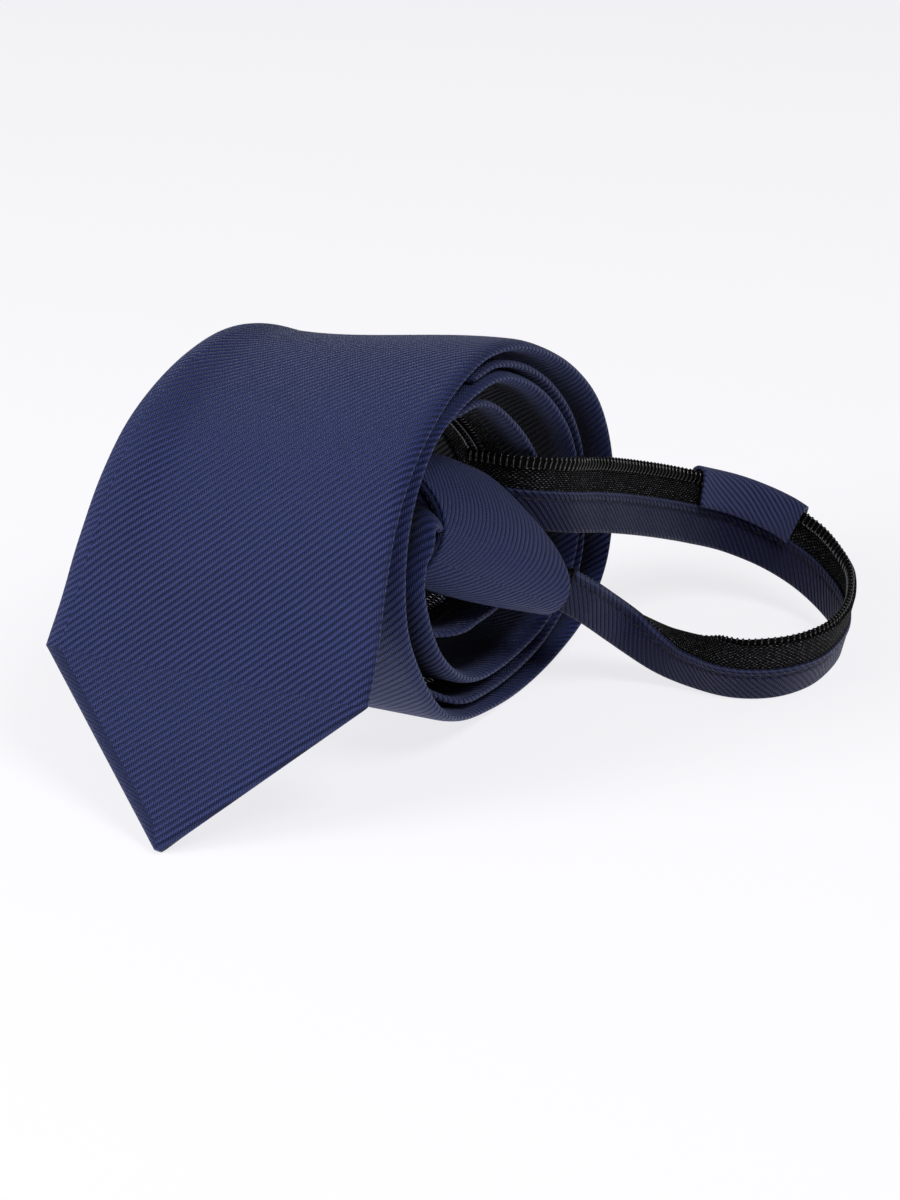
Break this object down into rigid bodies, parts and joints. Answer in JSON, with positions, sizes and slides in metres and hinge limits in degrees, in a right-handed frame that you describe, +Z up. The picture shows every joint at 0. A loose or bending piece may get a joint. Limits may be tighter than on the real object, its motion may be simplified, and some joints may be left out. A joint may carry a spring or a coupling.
{
  "type": "zipper necktie",
  "caption": "Ribbed ready-tied necktie rolled up around its knot, with a zipped neck loop standing out beside the roll.",
  "frame": {"origin": "middle of the object's footprint, on the floor it lies on", "axes": "+X along the axis of the roll towards the neck loop, +Y towards the back of the roll, +Z up"},
  "size_m": [0.1298, 0.1672, 0.0799],
  "materials": {
    "ribbed_navy": "ribbed weave with a soft sheen",
    "navy_binding": "ribbed weave with a soft sheen",
    "black_tape": "woven tape, matt",
    "black_coil": "glossy moulded coil"
  },
  "bodies": {
    "root": {"blade": "ribbed_navy", "knot": "ribbed_navy", "tail_binding_right": "navy_binding", "tail_tape_right": "black_tape", "tail_coil": "black_coil", "tail_tape_left": "black_tape", "tail_binding_left": "navy_binding", "loop_binding": "navy_binding", "loop_tape": "black_tape", "loop_coil": "black_coil", "keeper_sleeve": "navy_binding"}
  },
  "joints": []
}
